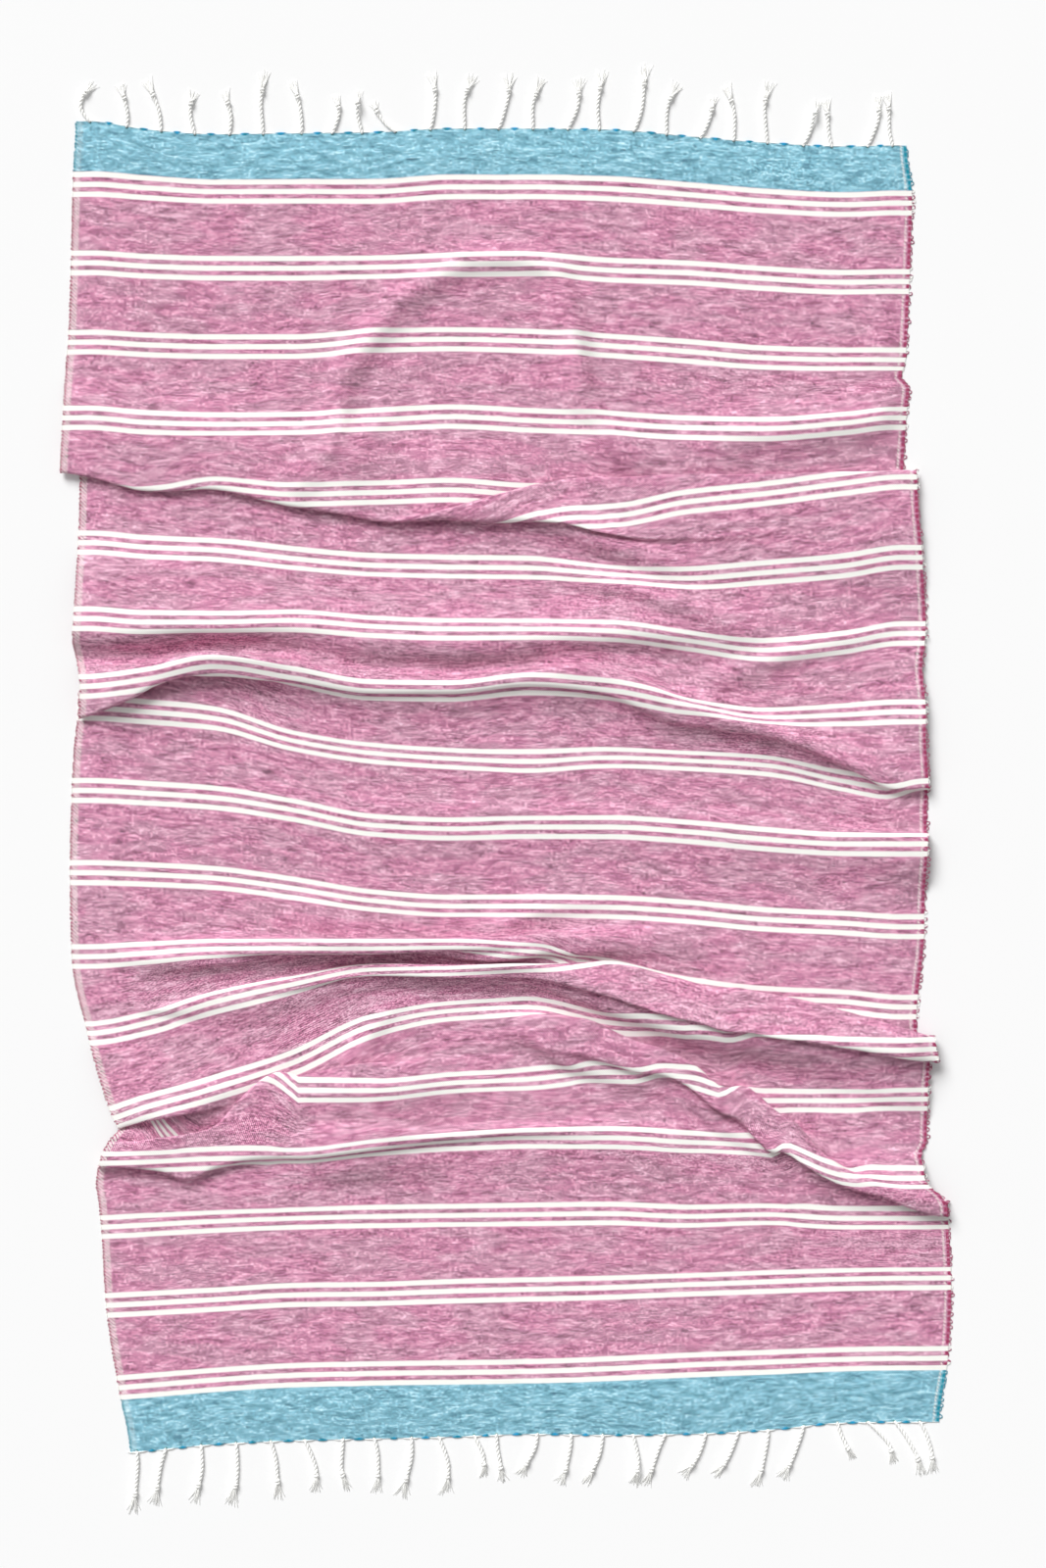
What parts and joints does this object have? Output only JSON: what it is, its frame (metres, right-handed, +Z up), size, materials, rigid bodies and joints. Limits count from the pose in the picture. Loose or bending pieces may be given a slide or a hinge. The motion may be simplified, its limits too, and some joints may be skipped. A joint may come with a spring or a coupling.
{
  "type": "hammam towel",
  "caption": "Flat-woven cotton bath towel with groups of white stripes, plain end bands and knotted cord fringes, lying rumpled in soft pleats.",
  "frame": {"origin": "middle of the whole towel's outline, at the surface that it lies on", "axes": "+X across the cloth to the right, +Y along the cloth towards the head end, +Z up from the surface"},
  "size_m": [0.9522, 1.541, 0.0262],
  "materials": {
    "striped_cloth": "matt flat-woven cotton, pink and plum slub weft on a white warp, white stripe groups, turquoise end bands",
    "white_cord": "matt white twisted cotton cord"
  },
  "bodies": {
    "root": {"towel_cloth": "striped_cloth", "fringe_head": "white_cord", "fringe_foot": "white_cord"}
  },
  "joints": []
}
